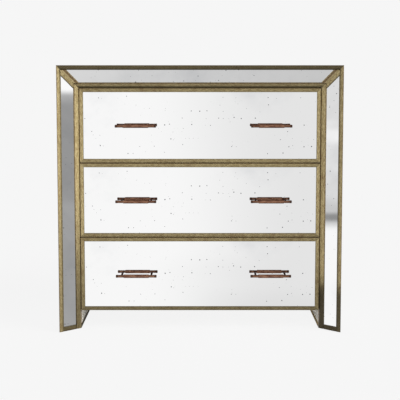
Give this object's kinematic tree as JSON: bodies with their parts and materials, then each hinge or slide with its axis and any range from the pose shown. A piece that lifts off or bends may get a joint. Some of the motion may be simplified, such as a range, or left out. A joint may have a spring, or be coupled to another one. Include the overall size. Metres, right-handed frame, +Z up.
{
  "type": "chest of drawers",
  "caption": "Mirrored chest of drawers: drawers on telescopic slides inside a splayed frame of mirror strips and gilt mouldings, with bronze bar pulls.",
  "frame": {"origin": "on the floor, at the middle of the footprint", "axes": "+X to the right seen from the front, +Y to the back, +Z up; drawers open towards -Y"},
  "size_m": [0.9652, 0.4572, 0.9144],
  "materials": {
    "antiqued_mirror": "silvered glass with scattered grey foxing spots",
    "gilt_moulding": "antiqued gold leaf on wood, worn and glazed brown",
    "nylon_glide": "moulded nylon",
    "zinc_steel": "zinc plated",
    "pine": "planed pine",
    "painted_back": "dark painted hardboard",
    "champagne_board": "champagne silver painted board",
    "mdf": "fibreboard",
    "drawer_wood": "lacquered hardwood",
    "drawer_base": "plywood",
    "bronze": "brown bronze patina"
  },
  "bodies": {
    "case": {"left_outer_board": "mdf", "right_outer_board": "mdf", "top_board": "mdf", "left_inner_board": "champagne_board", "right_inner_board": "champagne_board", "ceiling_board": "mdf", "left_splay_board": "mdf", "right_splay_board": "mdf", "top_splay_board": "mdf", "left_splay_mirror": "antiqued_mirror", "right_splay_mirror": "antiqued_mirror", "top_splay_mirror": "antiqued_mirror", "front_moulding": "gilt_moulding", "inner_moulding": "gilt_moulding", "valley_mouldings": "gilt_moulding", "foot_mouldings": "gilt_moulding", "left_side_mirror": "antiqued_mirror", "right_side_mirror": "antiqued_mirror", "top_mirror": "antiqued_mirror", "left_side_moulding": "gilt_moulding", "right_side_moulding": "gilt_moulding", "top_moulding": "gilt_moulding", "left_wall_battens": "pine", "right_wall_battens": "pine", "top_battens": "pine", "bottom_board": "mdf", "divider_rails": "pine", "back_panel": "painted_back", "floor_glides": "nylon_glide", "case_slide_members": "zinc_steel"},
    "bottom_drawer": {"bottom_drawer_front_board": "mdf", "bottom_drawer_mirror": "antiqued_mirror", "bottom_drawer_moulding": "gilt_moulding", "bottom_drawer_box_sides": "drawer_wood", "bottom_drawer_box_ends": "drawer_wood", "bottom_drawer_bottom": "drawer_base", "bottom_drawer_pulls": "bronze", "bottom_drawer_inner_slides": "zinc_steel"},
    "bottom_drawer_middle_slides": {"bottom_drawer_middle_slides": "zinc_steel"},
    "middle_drawer": {"middle_drawer_front_board": "mdf", "middle_drawer_mirror": "antiqued_mirror", "middle_drawer_moulding": "gilt_moulding", "middle_drawer_box_sides": "drawer_wood", "middle_drawer_box_ends": "drawer_wood", "middle_drawer_bottom": "drawer_base", "middle_drawer_pulls": "bronze", "middle_drawer_inner_slides": "zinc_steel"},
    "middle_drawer_middle_slides": {"middle_drawer_middle_slides": "zinc_steel"},
    "top_drawer": {"top_drawer_front_board": "mdf", "top_drawer_mirror": "antiqued_mirror", "top_drawer_moulding": "gilt_moulding", "top_drawer_box_sides": "drawer_wood", "top_drawer_box_ends": "drawer_wood", "top_drawer_bottom": "drawer_base", "top_drawer_pulls": "bronze", "top_drawer_inner_slides": "zinc_steel"},
    "top_drawer_middle_slides": {"top_drawer_middle_slides": "zinc_steel"}
  },
  "joints": [
    {"name": "bottom_drawer_slide", "type": "slide", "parent": "case", "child": "bottom_drawer", "axis": [0, -1, 0], "range_m": [0, 0.33]},
    {"name": "bottom_drawer_middle_slide", "type": "slide", "parent": "case", "child": "bottom_drawer_middle_slides", "axis": [0, -1, 0], "range_m": [0, 0.165]},
    {"name": "middle_drawer_slide", "type": "slide", "parent": "case", "child": "middle_drawer", "axis": [0, -1, 0], "range_m": [0, 0.33]},
    {"name": "middle_drawer_middle_slide", "type": "slide", "parent": "case", "child": "middle_drawer_middle_slides", "axis": [0, -1, 0], "range_m": [0, 0.165]},
    {"name": "top_drawer_slide", "type": "slide", "parent": "case", "child": "top_drawer", "axis": [0, -1, 0], "range_m": [0, 0.33]},
    {"name": "top_drawer_middle_slide", "type": "slide", "parent": "case", "child": "top_drawer_middle_slides", "axis": [0, -1, 0], "range_m": [0, 0.165]}
  ],
  "couplings": [
    {"joint": "bottom_drawer_middle_slide", "follows": "bottom_drawer_slide", "ratio": 0.5},
    {"joint": "middle_drawer_middle_slide", "follows": "middle_drawer_slide", "ratio": 0.5},
    {"joint": "top_drawer_middle_slide", "follows": "top_drawer_slide", "ratio": 0.5}
  ]
}
